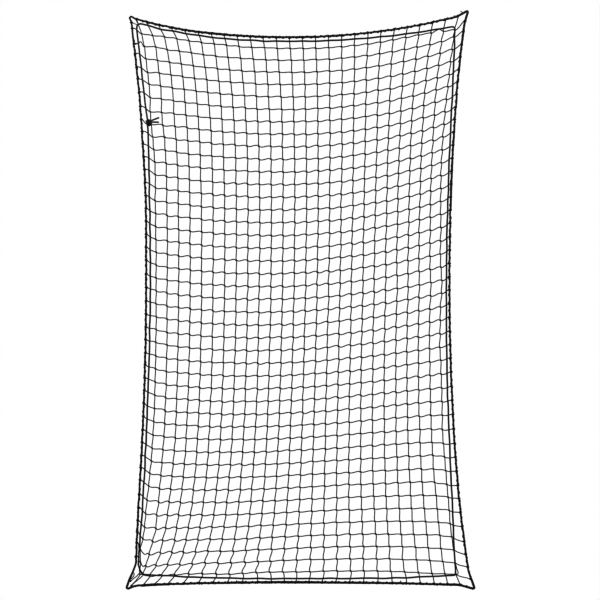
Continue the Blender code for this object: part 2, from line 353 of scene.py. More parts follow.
class Bundle:
    """The strands of one piece, gathered into one mesh with a map along each strand."""

    def __init__(self):
        self.points = []
        self.quads = []
        self.caps = []
        self.quad_maps = []
        self.cap_maps = []
        self.count = 0

    def add(self, paths, radius, sides, lay, lobes=3, lobe=0.0, tips=(1.0, 1.0), swollen=1.0):
        """Round or laid strands along paths of equal point counts. lay is the length of one
        turn of the twist, lobe how deep the grooves between its yarns are, tips how thick
        each end is and swollen how thick each point is, as shares of the radius."""
        paths = np.asarray(paths, float)
        if paths.ndim == 2:
            paths = paths[None]
        strands, rings = paths.shape[:2]
        along = arc_lengths(paths)
        _, sideways, upwards = carried_frames(paths)
        start = rng.uniform(0.0, math.tau, (strands, 1))
        turn = start + math.tau * along / lay
        around = math.tau * np.arange(sides) / sides
        thick = np.ones((strands, rings)) * swollen
        thick[:, 0] *= tips[0]
        thick[:, -1] *= tips[1]
        size = radius * thick[..., None] * (1 + lobe * np.cos(lobes * around))
        angle = turn[..., None] + around
        ring = (
            paths[:, :, None]
            + (size * np.cos(angle))[..., None] * sideways[:, :, None]
            + (size * np.sin(angle))[..., None] * upwards[:, :, None]
        )
        self.points.append(ring.reshape(-1, 3))
        base = self.count + (
            np.arange(strands)[:, None, None] * rings * sides
            + np.arange(rings - 1)[None, :, None] * sides
        )
        here = np.arange(sides)[None, None]
        after = (here + 1) % sides
        quads = np.stack(
            [base + here, base + after, base + sides + after, base + sides + here], axis=-1
        )
        self.quads.append(quads.reshape(-1, 4))
        u0 = np.broadcast_to(here / sides, quads.shape[:3])
        u1 = u0 + 1 / sides
        v0 = np.broadcast_to(along[:, :-1, None] / lay, quads.shape[:3])
        v1 = np.broadcast_to(along[:, 1:, None] / lay, quads.shape[:3])
        maps = np.stack([u0, v0, u1, v0, u1, v1, u0, v1], axis=-1)
        self.quad_maps.append(maps.reshape(-1, 8))
        first = self.count + np.arange(strands)[:, None] * rings * sides + np.arange(sides)
        last = first + (rings - 1) * sides
        self.caps.append(np.concatenate([first[:, ::-1], last]).reshape(-1, sides))
        self.cap_maps.append(np.zeros((2 * strands, sides * 2)))
        self.count += strands * rings * sides

    def build(self, name, material, slot, *nodes):
        mesh = bpy.data.meshes.new(name)
        points = np.concatenate(self.points)
        quads = np.concatenate(self.quads)
        corners = [quads.ravel()] + [c.ravel() for c in self.caps]
        sizes = [np.full(len(quads), 4)] + [np.full(len(c), c.shape[1]) for c in self.caps]
        corners = np.concatenate(corners).astype(np.int32)
        sizes = np.concatenate(sizes)
        starts = np.concatenate([[0], np.cumsum(sizes)[:-1]]).astype(np.int32)
        mesh.vertices.add(len(points))
        mesh.vertices.foreach_set("co", points.ravel().astype(np.float32))
        mesh.loops.add(len(corners))
        mesh.loops.foreach_set("vertex_index", corners)
        mesh.polygons.add(len(sizes))
        mesh.polygons.foreach_set("loop_start", starts)
        mesh.polygons.foreach_set("use_smooth", np.ones(len(sizes), bool))
        mesh.update(calc_edges=True)
        layer = mesh.uv_layers.new(name="strand")
        maps = [m.ravel() for m in self.quad_maps] + [m.ravel() for m in self.cap_maps]
        layer.data.foreach_set("uv", np.concatenate(maps).astype(np.float32))
        mesh.materials.append(material)
        obj = bpy.data.objects.new(name, mesh)
        bpy.context.scene.collection.objects.link(obj)
        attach(obj, "root")
        if nodes:
            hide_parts(*nodes)
        return obj


def hermite(start, end, leave, arrive, steps):
    """Smooth paths between arrays of points, leaving and arriving along given vectors."""
    u = np.linspace(0.0, 1.0, steps)[None, :, None]
    return blend(start[:, None], end[:, None], leave[:, None], arrive[:, None], u)


def spline_through(points, steps):
    """One smooth path through a few points, as evenly spaced points."""
    points = np.asarray(points, float)
    padded = np.concatenate([[2 * points[0] - points[1]], points, [2 * points[-1] - points[-2]]])
    fine = []
    for p0, p1, p2, p3 in zip(padded, padded[1:], padded[2:], padded[3:]):
        for u in np.linspace(0.0, 1.0, 12, endpoint=False):
            fine.append(
                0.5 * (2 * p1 + (p2 - p0) * u + (2 * p0 - 5 * p1 + 4 * p2 - p3) * u**2
                       + (3 * p1 - p0 - 3 * p2 + p3) * u**3)
            )
    fine.append(points[-1])
    return evenly(np.array(fine), steps)


# ---- materials
BUMP_DEPTH = 0.0006


def shader_node(tree, kind, **inputs):
    """A node with its inputs set by name, underscores standing for spaces."""
    node = tree.nodes.new(kind)
    for name, value in inputs.items():
        node.inputs[name.replace("_", " ")].default_value = value
    return node


def strand_material(name, colour, worn, roughness, sheen, yarns, groove, fibres):
    """Twisted black plastic yarn: grooves between the yarns, filaments along them, a dull
    bloom on the crests and slow changes of tone along the strand."""
    material = bpy.data.materials.new(name)
    material.use_nodes = True
    tree = material.node_tree
    tree.nodes.clear()
    link = tree.links.new
    output = shader_node(tree, "ShaderNodeOutputMaterial")
    shader = shader_node(tree, "ShaderNodeBsdfPrincipled", IOR=1.49)
    shader.inputs["Sheen Weight"].default_value = sheen
    shader.inputs["Sheen Roughness"].default_value = 0.45
    shader.inputs["Specular IOR Level"].default_value = 0.32
    link(shader.outputs[0], output.inputs[0])

    maps = shader_node(tree, "ShaderNodeUVMap")
    maps.uv_map = "strand"
    split = shader_node(tree, "ShaderNodeSeparateXYZ")
    link(maps.outputs[0], split.inputs[0])

    def maths(kind, a, b=None):
        node = shader_node(tree, "ShaderNodeMath")
        node.operation = kind
        for socket, value in zip(node.inputs, (a, b)):
            if value is None:
                continue
            if isinstance(value, (int, float)):
                socket.default_value = value
            else:
                link(value, socket)
        return node.outputs[0]

    crest = maths("COSINE", maths("MULTIPLY", split.outputs["X"], math.tau * yarns))
    crest = maths("ADD", maths("MULTIPLY", crest, 0.5), 0.5)

    def noise(vector, scale, **inputs):
        node = shader_node(tree, "ShaderNodeTexNoise", Scale=scale, **inputs)
        link(vector, node.inputs["Vector"])
        return node.outputs["Fac"]

    stretch = shader_node(tree, "ShaderNodeCombineXYZ")
    link(maths("MULTIPLY", split.outputs["X"], fibres), stretch.inputs["X"])
    link(maths("MULTIPLY", split.outputs["Y"], 3.0), stretch.inputs["Y"])
    filament = noise(stretch.outputs[0], 1.0, Detail=3.0, Roughness=0.6)
    place = shader_node(tree, "ShaderNodeTexCoord").outputs["Object"]
    slow = noise(place, 11.0, Detail=3.0)
    speck = noise(place, 420.0, Detail=2.0)

    wear = maths("MULTIPLY", maths("POWER", crest, 2.0), slow)
    streaks = maths("ADD", maths("MULTIPLY", filament, 0.9), 0.35)
    wear = maths("MULTIPLY", wear, streaks)
    wear = maths("MULTIPLY", wear, maths("ADD", speck, 0.5))
    tone = shader_node(tree, "ShaderNodeMix")
    tone.data_type = "RGBA"
    tone.inputs["A"].default_value = (*colour, 1.0)
    tone.inputs["B"].default_value = (*worn, 1.0)
    link(wear, tone.inputs["Factor"])
    link(tone.outputs["Result"], shader.inputs["Base Color"])

    rough = maths("ADD", maths("MULTIPLY", filament, 0.22), roughness - 0.11)
    drift = maths("MULTIPLY", maths("SUBTRACT", slow, 0.5), 0.25)
    rough = maths("ADD", rough, drift)
    link(rough, shader.inputs["Roughness"])

    ridges = maths("MULTIPLY", filament, 0.3)
    height = maths("ADD", maths("MULTIPLY", crest, groove), ridges)
    bump = shader_node(tree, "ShaderNodeBump", Strength=0.8, Distance=BUMP_DEPTH)
    link(height, bump.inputs["Height"])
    link(bump.outputs[0], shader.inputs["Normal"])
    return material


TWINE = strand_material(
    "netting_twine", (0.008, 0.008, 0.009), (0.06, 0.06, 0.062), 0.5, 0.1, 3, 0.9, 22.0
)
ROPE = strand_material(
    "border_rope", (0.007, 0.007, 0.008), (0.05, 0.05, 0.052), 0.58, 0.18, 3, 0.5, 60.0
)
LASHING = strand_material(
    "lashing_twine", (0.008, 0.008, 0.008), (0.055, 0.055, 0.057), 0.46, 0.1, 3, 0.8, 18.0
)
CORD = strand_material(
    "lacing_cord", (0.009, 0.009, 0.01), (0.058, 0.058, 0.06), 0.44, 0.14, 3, 0.6, 44.0
)


# ---- the netting
# Single knots and short runs of them that hang a little out of the even mesh: column, row,
# how far in x and z, and how many columns and rows it reaches
NUDGES = (
    (1, 1.5, 0.0026, 0, 0.5, 1.2),
    (1, 4, 0, -0.0055, 0.4, 0.4),
    (1, 9.3, 0, -0.0022, 0.4, 1.6),
    (2, 9.3, 0, 0.002, 0.4, 1.6),
    (1, 11.5, 0.003, 0, 0.9, 1.4),
    (1, 7, 0, -0.0022, 0.4, 0.8),
    (2, 7.3, 0, 0.0016, 0.4, 0.9),
    (1, 29, 0.0008, 0.0027, 0.5, 9),
    (1, 24.5, 0, 0.0022, 0.5, 5.5),
    (2, 2, 0, 0.0038, 0.4, 0.5),
    (3.5, 7.5, -0.0022, 0.001, 1.2, 1.2),
    (2, 38, 0.002, -0.0028, 0.6, 2.2),
    (1, 42, 0.0038, -0.0085, 0.4, 0.5),
    (1, 43, 0.004, -0.0015, 0.4, 0.4),
    (2, 42, -0.002, 0, 0.4, 0.4),
    (2, 43, 0.0037, 0.007, 0.4, 0.4),
    (3, 43, -0.0035, 0, 0.4, 0.4),
    (2, 44, -0.015, 0, 0.4, 0.4),
    (7, 41.8, -0.0006, 0.0033, 0.8, 1.3),
    (9.3, 40, 0.0004, -0.0031, 0.9, 1.3),
    (10.6, 42, 0.005, 0, 0.8, 0.4),
    (11.4, 43, 0.003, 0.0036, 1.5, 0.45),
    (11.4, 44, 0.015, 0, 2.2, 0.45),
    (13, 44, 0.0025, 0, 1, 0.45),
    (18, 44, -0.0078, 0, 3.8, 0.45),
    (24, 1.5, 0.001, -0.0035, 0.8, 0.8),
    (26, 1, -0.004, -0.0015, 0.4, 0.4),
    (26, 2, -0.0005, 0.004, 0.4, 0.4),
    (22, 21.5, 0.0028, 0, 1.1, 1.5),
    (26, 26, -0.003, 0, 0.4, 1),
    (26, 32.5, -0.0028, -0.0012, 0.6, 1.6),
    (25, 38, 0.0036, -0.0012, 0.6, 2.2),
    (22, 42.3, -0.003, 0, 0.9, 1),
    (25, 43, 0, 0.0035, 0.4, 0.4),
    (26, 43, -0.0062, 0.0058, 0.4, 0.4),
)

# How unevenly the knots lie and the rows sway, and the most that a row dips at its knot
KNOT_DRIFT = 0.0006
SWAY_DRIFT = 0.22
MOST_DIP = 1.5


def mesh_grid():
    """Every knot's x and z, with the small unevenness of a hand-hung net."""
    grid = np.array([[knot_place(c, r) for r in range(ROWS + 2)] for c in range(COLUMNS + 2)])
    columns, rows = np.mgrid[0 : COLUMNS + 2, 0 : ROWS + 2]
    for column, row, x, z, reach_columns, reach_rows in NUDGES:
        far = ((columns - column) / reach_columns) ** 2 + ((rows - row) / reach_rows) ** 2
        grid += np.exp(-far)[..., None] * np.array((x, z))
    grid[1:-1, 1:-1] += rng.normal(0.0, KNOT_DRIFT, (COLUMNS, ROWS, 2))
    return grid


GRID = mesh_grid()
SWAY_AT = np.interp(np.arange(ROWS + 2) / (ROWS + 1), np.linspace(0, 1, len(SWAY)), SWAY)
UNEVEN = 1 + SWAY_DRIFT * rng.standard_normal((COLUMNS + 2, ROWS + 2))


def sway(column, row):
    """How strongly the twine dips and rises at a knot. It is slack at the bottom left."""
    slack = math.exp(-(((column - 1) / 5.0) ** 2) - ((row - 40) / 4.5) ** 2)
    return (SWAY_AT[row] + slack) * UNEVEN[column, row]


def jog(column, row):
    """How far aside the twine that runs down is set at a knot: most in the bottom's middle."""
    most = math.exp(-(((column - 10) / 4.5) ** 2) - ((row - 42.5) / 2.0) ** 2)
    some = 0.5 * math.exp(-(((column - 17) / 5.5) ** 2) - ((row - 42) / 3.5) ** 2)
    return max(most, some)


def knot_frame(column, row):
    """Unit vectors to the right and up at a knot, at right angles, halfway between the mesh's."""
    right = unit(GRID[min(column + 1, COLUMNS), row] - GRID[max(column - 1, 1), row])
    up = unit(GRID[column, max(row - 1, 1)] - GRID[column, min(row + 1, ROWS)])
    mid = unit(right + np.array((up[1], -up[0])))
    return mid, np.array((-mid[1], mid[0]))


def exit_at(column, row, way):
    """Where a twine leaves a knot: to the right, left, up or down."""
    right, up = knot_frame(column, row)
    if way in ("right", "left"):
        much = min(sway(column, row), MOST_DIP)
        offset = EXIT[0] * right - EXIT[1] * much * up
        return GRID[column, row] + (offset if way == "right" else -offset)
    offset = (DROP_EXIT[0] + JOG_EXIT * jog(column, row)) * right - DROP_EXIT[1] * up
    return GRID[column, row] + (offset if way == "down" else -offset)


def turned(v, angle):
    c, s = math.cos(angle), math.sin(angle)
    return np.array((c * v[0] - s * v[1], s * v[0] + c * v[1]))


BAR_STEPS = 21
# Every hitch on the rope as its side and t, and every twine from the netting to the rope
HITCHES = []
CROSSINGS = []
# How far a row's bars bend down at their knots, as a share of the sway, in radians
ROW_BEND = 0.33
# How far a column's bars and its last bar bend aside at their knots, in radians
DROP_BEND = 0.07
LAST_BEND = 0.1

# Rows whose ends are lashed higher or lower than their neighbours': side, row, rise, reach
END_SHIFTS = (
    ("right", 1, 0.015, 0.8),
    ("left", 2, -0.008, 0.5),
    ("right", 40, -0.006, 0.8),
    ("right", 41, -0.003, 0.5),
    ("right", 42, 0.002, 0.5),
    ("right", 43, 0.002, 0.5),
    ("left", 29, -0.0027, 9.0),
    ("left", 24, -0.01, 4.0),
    ("left", 43, -0.051, 0.5),
)


def row_end_place(row, side):
    if side == "left":
        last, rise = GRID[1, row], RISE_LEFT
    else:
        last, rise = GRID[COLUMNS, row], RISE_RIGHT
    height = last[1] + float(through_values(rise, row / (ROWS + 1)))
    for at_side, at_row, extra, reach in END_SHIFTS:
        if at_side == side:
            height += extra * math.exp(-(((row - at_row) / reach) ** 2))
    return side_where(side, 1, height)


# The twines' slopes at the left rope and at the first knot: rows, and radians from level
LEFT_LEAVE = ((1, 12, 16, 30, 36, 43), (0.0, 0.0, -0.95, -0.75, -0.45, -0.45))
LEFT_ARRIVE = ((1, 12, 16, 30, 43), (-0.6, -0.6, -0.12, -0.25, -0.3))

# Strands that lie in a bent way of their own: row, which bar of it (0 is the left end), and
# the places it passes on the way
BENT_BARS = {
    (2, 0): ((0.0216, -0.0991), (0.029, -0.0991), (0.0372, -0.0928), (0.0424, -0.0962)),
    (8, 0): ((0.0448, -0.3817), (0.0516, -0.39), (0.0584, -0.3969)),
    (1, 24): ((1.1373, -0.0513), (1.15, -0.0468)),
    (41, 1): ((0.045, -1.991), (0.0543, -1.999), (0.062, -1.996)),
    (42, 1): ((0.0431, -2.039), (0.05, -2.044)),
    (43, 0): ((0.012, -2.089), (0.024, -2.08)),
}
BENT_DROPS = {
    (26, 42): ((1.215, -2.0551), (1.2188, -2.0655), (1.2176, -2.0725)),
}


def on_rope(side, t):
    """Where a twine's end meets the rope, and the hitch there is noted."""
    HITCHES.append((side, t))
    return side_point(side, t) + side_inwards(side, t) * (ROPE_R + ON_ROPE)


def bars_of_row(row):
    """A row's strands from the left rope to the right: start, end and the slopes at both."""
    bars = []
    t = row_end_place(row, "left")
    rope = on_rope("left", t)
    end = exit_at(1, row, "left")
    span = np.linalg.norm(end - rope)
    leave = np.interp(row, *LEFT_LEAVE) + rng.uniform(-0.3, 0.3)
    arrive = np.interp(row, *LEFT_ARRIVE)
    leave = turned(side_inwards("left", t), leave) * span
    arrive = turned(knot_frame(1, row)[0], arrive) * span * 0.9
    bars.append((rope, end, leave, arrive))
    CROSSINGS.append((rope, end))
    for column in range(1, COLUMNS):
        start = exit_at(column, row, "right")
        end = exit_at(column + 1, row, "left")
        chord = end - start
        leave = turned(chord, -ROW_BEND * sway(column, row))
        arrive = turned(chord, -ROW_BEND * sway(column + 1, row))
        bars.append((start, end, leave, arrive))
    rope = on_rope("right", row_end_place(row, "right"))
    start = exit_at(COLUMNS, row, "right")
    chord = rope - start
    leave = turned(chord, -0.35)
    arrive = turned(chord, rng.uniform(-0.3, 0.25))
    bars.append((start, rope, leave, arrive))
    CROSSINGS.append((start, rope))
    return bars


def bars_of_column(column):
    """A column's strands from the top rope to the bottom."""
    bars = []
    rope = on_rope("top", side_where("top", 0, GRID[column, 0][0]))
    end = exit_at(column, 1, "up")
    chord = end - rope
    leave = turned(chord, rng.uniform(-0.2, 0.2))
    bars.append((rope, end, leave, turned(chord, -0.1)))
    CROSSINGS.append((rope, end))
    for row in range(1, ROWS):
        start = exit_at(column, row, "down")
        end = exit_at(column, row + 1, "up")
        chord = end - start
        leave = turned(chord, DROP_BEND + JOG_BEND * jog(column, row))
        arrive = turned(chord, DROP_BEND + JOG_BEND * jog(column, row + 1))
        bars.append((start, end, leave, arrive))
    rope = on_rope("bottom", side_where("bottom", 0, GRID[column, ROWS + 1][0]))
    start = exit_at(column, ROWS, "down")
    chord = rope - start
    leave = turned(chord, LAST_BEND + JOG_BEND * jog(column, ROWS))
    arrive = turned(chord, rng.uniform(-0.2, 0.2))
    bars.append((start, rope, leave, arrive))
    CROSSINGS.append((start, rope))
    return bars


def add_bars(bundle, bars, bent=()):
    """Strands between knots. bent holds the ones that pass given places on their way."""
    start, end, leave, arrive = (np.array(part) for part in zip(*bars))
    paths = hang(hermite(start, end, leave, arrive, BAR_STEPS))
    for bar, places in bent:
        way = hang(np.array([start[bar], *places, end[bar]]))
        paths[bar] = spline_through(way, BAR_STEPS)
    bundle.add(paths, TWINE_R, TWINE_SIDES, TWINE_LAY, lobe=TWINE_GROOVE)


# The mesh knot is a sheet bend. One twine makes the bight, the other comes up through it,
# round behind its neck and under itself. In millimetres: towards the upper left, towards
# the upper right, and towards the player.
BIGHT = (
    (4.3, -1.9, 0.0), (3.3, -1.3, 0.0), (1.7, -1.0, 0.1), (0.0, -1.35, 0.3), (-1.5, -1.2, 0.3),
    (-2.3, 0.0, 0.3), (-1.5, 1.25, 0.3), (0.0, 1.35, 0.3), (1.7, 1.05, 0.1), (3.0, 1.7, 0.0),
    (3.9, 2.6, 0.0),
)
WRAP = (
    (-3.9, -2.6, 0.0), (-3.0, -1.7, -0.5), (-2.5, -0.6, -1.6), (-1.5, 0.0, -1.1),
    (-0.8, 0.1, 0.4), (-0.1, 0.5, 1.9), (0.9, 1.5, 2.4), (1.7, 2.6, 1.0), (1.8, 2.5, -0.9),
    (1.6, 1.2, -2.0), (1.5, -1.0, -2.0), (1.3, -2.5, -0.9), (0.9, -2.5, 0.8), (0.3, -1.3, 1.8),
    (-0.3, 0.2, 1.5), (-1.0, 1.5, 1.8), (-2.2, 1.9, 1.0), (-3.3, 1.4, 0.2), (-4.2, 1.9, 0.0),
)
MILLIMETRE = 1e-3
BIGHT_STEPS = 13
WRAP_STEPS = 26


def add_knots(bundle, places, shape, steps):
    """Copies of one knotted strand, each turned to lie along its own mesh."""
    path = spline_through(np.array(shape) * MILLIMETRE, steps)
    right = (path[:, 1] - path[:, 0]) / math.sqrt(2)
    up = (path[:, 1] + path[:, 0]) / math.sqrt(2)
    paths = []
    for column, row in places:
        along, above = knot_frame(column, row)
        angle = KNOT_TURN[column, row]
        along, above = turned(along, angle), turned(above, angle)
        size = KNOT_SCALE[column, row]
        flat = GRID[column, row] + size * (right[:, None] * along + up[:, None] * above)
        place = hang(flat)
        place[:, 1] -= path[:, 2] * size
        paths.append(place)
    bundle.add(np.array(paths), KNOT_R, TWINE_SIDES, TWINE_LAY, lobe=KNOT_GROOVE, tips=(0.75, 0.75))


# How far each knot is turned, in radians, and how large it is
KNOT_TURN = rng.normal(0.0, 0.1, (COLUMNS + 1, ROWS + 1))
KNOT_SCALE = rng.normal(1.02, 0.05, (COLUMNS + 1, ROWS + 1))


def make_netting():
    count = 0
    for first in range(1, ROWS + 1, ROWS_PER_TWINE):
        rows = range(first, min(first + ROWS_PER_TWINE, ROWS + 1))
        bundle = Bundle()
        bars = []
        bent = []
        for row in rows:
            bent += [(len(bars) + bar, way) for (at, bar), way in BENT_BARS.items() if at == row]
            bars += bars_of_row(row)
        add_bars(bundle, bars, bent)
        places = [(c, r) for r in rows for c in range(1, COLUMNS + 1)]
        add_knots(bundle, places, BIGHT, BIGHT_STEPS)
        count += 1
        bundle.build(f"net_rows_{count:02d}", TWINE, "netting_twine", f"row_twine_{count:02d}")
    for column in range(1, COLUMNS + 1):
        bundle = Bundle()
        bent = [(row, way) for (at, row), way in BENT_DROPS.items() if at == column]
        add_bars(bundle, bars_of_column(column), bent)
        add_knots(bundle, [(column, r) for r in range(1, ROWS + 1)], WRAP, WRAP_STEPS)
        name = f"column_twine_{column:02d}"
        bundle.build(f"net_column_{column:02d}", TWINE, "netting_twine", name)


# ---- border rope
# How near a corner, as a share of a side, its two legs' directions are read
CORNER_READ = 0.02
SIDE_STEPS = 110
EYE_STEPS = 9
ROUTE_STEP = 0.02
ROPE_STEP = 0.0022
# How far the rope wanders off its line in x, y and z, one swing in so many points, and over
# how many points at its two ends it is eased back
ROPE_DRIFT = (0.0005, 0.0006, 0.0005)
ROPE_SWING = 16
ROPE_EASE = 30


def corner_inwards(corner):
    """The unit direction from a corner of the rope into the net, between its two legs."""
    legs = []
    for side, (first, second, _, _) in SIDES.items():
        if corner in (first, second):
            t = CORNER_READ if corner == first else 1 - CORNER_READ
            leg = side_point(side, t) - np.array(CORNERS[corner])
            legs.append(leg / np.linalg.norm(leg))
    middle = legs[0] + legs[1]
    return middle / np.linalg.norm(middle)


def touching(centre, radius, point, way):
    """The angle at which a straight leg from a point touches a circle, on the given side."""
    apart = point - centre
    return math.atan2(apart[1], apart[0]) + way * math.acos(radius / np.linalg.norm(apart))


def rope_centreline():
    """All round the net, clockwise, starting and ending near the middle of the top. The rope
    runs straight from each corner eye to its first hitch."""
    runs = {}
    for side in SIDES:
        start, end = LEGS[side]
        runs[side] = [side_point(side, t) for t in np.linspace(start, 1 - end, SIDE_STEPS)]
    points = []
    sides = list(SIDES)
    for side, following in zip(sides, sides[1:] + sides[:1]):
        _, corner, _, _ = SIDES[side]
        radius = EYE_RADII[corner]
        centre = np.array(CORNERS[corner]) + corner_inwards(corner) * radius
        first = touching(centre, radius, runs[side][-1], -1)
        last = touching(centre, radius, runs[following][0], 1)
        while last > first:
            last -= math.tau
        points += runs[side]
        for angle in np.linspace(first, last, EYE_STEPS):
            points.append(centre + radius * np.array((math.cos(angle), math.sin(angle))))
    points = np.array(points)
    start = SIDE_STEPS // 2
    points = np.concatenate([points[start:], points[: start + 1]])
    return smooth_route(points, ROUTE_STEP)


# Where the rope is thick with bound strands: x, z, reach, and how much thicker
ROPE_SWOLLEN = (
    (1.268, -2.118, 0.04, 0.3),
    (-0.008, -2.118, 0.03, 0.22),
    (0.004, -2.086, 0.014, 0.18),
    (1.247, 0.014, 0.045, 0.2),
    (1.24, -0.03, 0.06, 0.14),
    (0.395, -2.102, 0.06, 0.08),
    (0.64, -2.105, 0.6, 0.22),
)


def swung(places, keys, values):
    """Values read between keys, each eased into the next."""
    before = np.clip(np.searchsorted(keys, places, side="right") - 1, 0, len(keys) - 2)
    share = (places - keys[before]) / (keys[before + 1] - keys[before])
    ease = (1 - np.cos(math.pi * np.clip(share, 0, 1))) / 2
    return values[before] * (1 - ease) + values[before + 1] * ease


def wander(count, reach, size):
    """Smooth random drift: size is its spread, reach how many points one swing takes."""
    knots = max(4, count // reach + 2)
    values = rng.normal(0.0, size, knots)
    return swung(np.linspace(0, knots - 1, count), np.arange(knots), values)


def eased(drift, count):
    """A drift that starts and ends at nothing, over so many points at each end."""
    drift[:count] *= np.linspace(0, 1, count)
    drift[-count:] *= np.linspace(1, 0, count)
    return drift


def make_border_rope():
    path = resampled(hang(rope_centreline()), ROPE_STEP)
    for axis, size in enumerate(ROPE_DRIFT):
        path[:, axis] += eased(wander(len(path), ROPE_SWING, size), ROPE_EASE)
    swollen = np.ones(len(path))
    for x, z, reach, extra in ROPE_SWOLLEN:
        far = np.hypot(path[:, 0] - x, path[:, 2] - z) / reach
        swollen += extra * np.exp(-(far**2))
    bundle = Bundle()
    bundle.add(path, ROPE_R, ROPE_SIDES, ROPE_LAY, lobe=TWINE_GROOVE, swollen=swollen)
    bundle.build("rope", ROPE, "border_rope", "border_rope")


# ---- lashings
# The lashing round each side's rope: the length of one turn, how far it stands off in its own
# radii, how unevenly it lies, and where along the side it runs
LASHED = {
    "top": (0.025, 0.70, 0.00045, 0.035, 0.965),
    "right": (0.030, 0.25, 0.00025, 0.030, 0.965),
    "bottom": (0.025, 0.60, 0.00040, 0.020, 0.975),
    "left": (0.034, 0.15, 0.00020, 0.045, 0.965),
}
# Turned-back strands bound along the rope: side, from, to, where round it, and thickness
COMPANIONS = (
    ("bottom", 0.3, 0.68, 2.9, 0.0014),
    ("bottom", 0.46, 0.6, -0.4, 0.0013),
    ("bottom", 0.02, 0.11, 3.2, 0.0014),
    ("bottom", 0.68, 0.9, 3.1, 0.001),
    ("bottom", 0.11, 0.3, 3.1, 0.001),
    ("bottom", 0.88, 0.955, 2.7, 0.0014),
    ("left", 0.3, 0.5, -1.6, 0.0011),
    ("right", 0.2, 0.34, 3.0, 0.0012),
    ("right", 0.03, 0.1, 2.8, 0.0012),
    ("top", 0.05, 0.3, 3.3, 0.001),
    ("top", 0.3, 0.62, 3.0, 0.0009),
)
# Cut ends of lashing twine that stand out of the rope: x, z, direction in degrees, length
STUBS = {
    "top": ((1.2355, 0.014, 136.0, 0.0105),),
    "right": ((1.264, -2.064, 168.0, 0.009),),
    "bottom": ((0.395, -2.101, 80.0, 0.006), (1.005, -2.102, 75.0, 0.006)),
    "left": ((0.0205, -2.0085, 176.0, 0.0055), (0.0175, -0.101, -20.0, 0.006)),
}

# Loose loops and doubled strands of lashing twine, by the places they pass
LOOPS = {
    "top": (((0.0238, -0.0095), (0.0262, -0.017), (0.0288, -0.0262)),),
    "right": (),
    "bottom": (
        ((0.045, -2.0795), (0.03, -2.0925), (0.016, -2.1025), (0.0055, -2.112)),
        ((0.0325, -2.056), (0.042, -2.07), (0.054, -2.077), (0.074, -2.0788)),
    ),
    "left": (
        ((0.0085, -2.063), (0.0138, -2.07), (0.013, -2.079), (0.0045, -2.0885),
         (-0.001, -2.0925)),
    ),
}
LASH_STEPS = 18
LASH_SWING = (26, 0.55)
LASH_RISE_SWING = 16
COMPANION_STEPS = 700
COMPANION_SWING = (40, 0.35)
STUB_STEPS = 5
LOOP_STEPS = 22
STUB_LAYER = -0.002
LOOP_LAYER = -0.0015

# A hitch's turns round the rope, how far apart they lie in its own radii, and its drift
HITCH_TURNS = 2.3
HITCH_PITCH = 2.1
HITCH_DRIFT = 0.0008
HITCH_STEPS = 27


def round_rope(side, t, phase, radius, drift=0.0):
    """A place on the rope's surface: phase 0 is the inner side, a quarter turn the front."""
    place = side_point(side, t) + side_along(side, t) * drift
    flat = place + side_inwards(side, t) * radius * math.cos(phase)
    point = hang(flat)
    point[1] -= radius * math.sin(phase)
    return point


def lashing_path(side):
    """The lashing twine, wound round one side's rope."""
    pitch, stand_off, uneven, first, last = LASHED[side]
    ends = [np.array(CORNERS[name]) for name in SIDES[side][:2]]
    length = np.linalg.norm(ends[1] - ends[0]) * (last - first)
    turns = length / pitch
    count = int(turns * LASH_STEPS)
    ts = np.linspace(first, last, count)
    phases = math.tau * turns * np.linspace(0, 1, count) + wander(count, *LASH_SWING)
    radii = ROPE_R + LASH_R * stand_off + np.abs(wander(count, LASH_RISE_SWING, uneven))
    return np.array([round_rope(side, t, p, r) for t, p, r in zip(ts, phases, radii)])


def companion_path(side, first, last, phase, radius):
    """A strand laid along the rope under the lashing, wandering a little round it."""
    count = int((last - first) * COMPANION_STEPS)
    ts = np.linspace(first, last, count)
    phases = phase + wander(count, *COMPANION_SWING)
    apart = ROPE_R + radius * 0.2
    return np.array([round_rope(side, t, p, apart) for t, p in zip(ts, phases)])


def hitch_path(side, t):
    """A tight hitch where a twine's end is bound to the rope."""
    pitch = HITCH_PITCH * HITCH_R
    path = []
    way = 1 if rng.random() < 0.5 else -1
    shift = rng.normal(0.0, HITCH_DRIFT)
    for k in range(HITCH_STEPS):
        u = k / (HITCH_STEPS - 1)
        phase = way * math.tau * HITCH_TURNS * u
        radius = ROPE_R + HITCH_R * (0.8 + 0.35 * math.sin(math.pi * u))
        drift = shift + pitch * HITCH_TURNS * (u - 0.5) * way
        path.append(round_rope(side, t, phase, radius, drift))
    return path


def add_lashing(bundle, paths, radius, tips=(1.0, 1.0)):
    bundle.add(paths, radius, TWINE_SIDES, LASH_LAY, lobe=TWINE_GROOVE, tips=tips)


def make_lashings():
    for side in SIDES:
        bundle = Bundle()
        add_lashing(bundle, lashing_path(side), LASH_R)
        for beside, first, last, phase, radius in COMPANIONS:
            if beside == side:
                path = companion_path(side, first, last, phase, radius)
                add_lashing(bundle, path, radius, (0.5, 0.5))
        hitches = [hitch_path(side, t) for at, t in HITCHES if at == side]
        add_lashing(bundle, np.array(hitches), HITCH_R, (0.8, 0.6))
        for x, z, degrees, length in STUBS[side]:
            angle = math.radians(degrees)
            way = np.array((math.cos(angle), math.sin(angle)))
            reach = length * np.linspace(0, 1, STUB_STEPS)
            stub = hang(np.array((x, z)) + np.outer(reach, way), STUB_LAYER)
            add_lashing(bundle, stub, STUB_R, (1.0, 0.9))
        for places in LOOPS[side]:
            loop = spline_through(hang(np.array(places), LOOP_LAYER), LOOP_STEPS)
            add_lashing(bundle, loop, LOOP_R, (0.8, 0.8))
        bundle.build(f"lashing_on_{side}", LASHING, "lashing_twine", f"lashing_{side}")


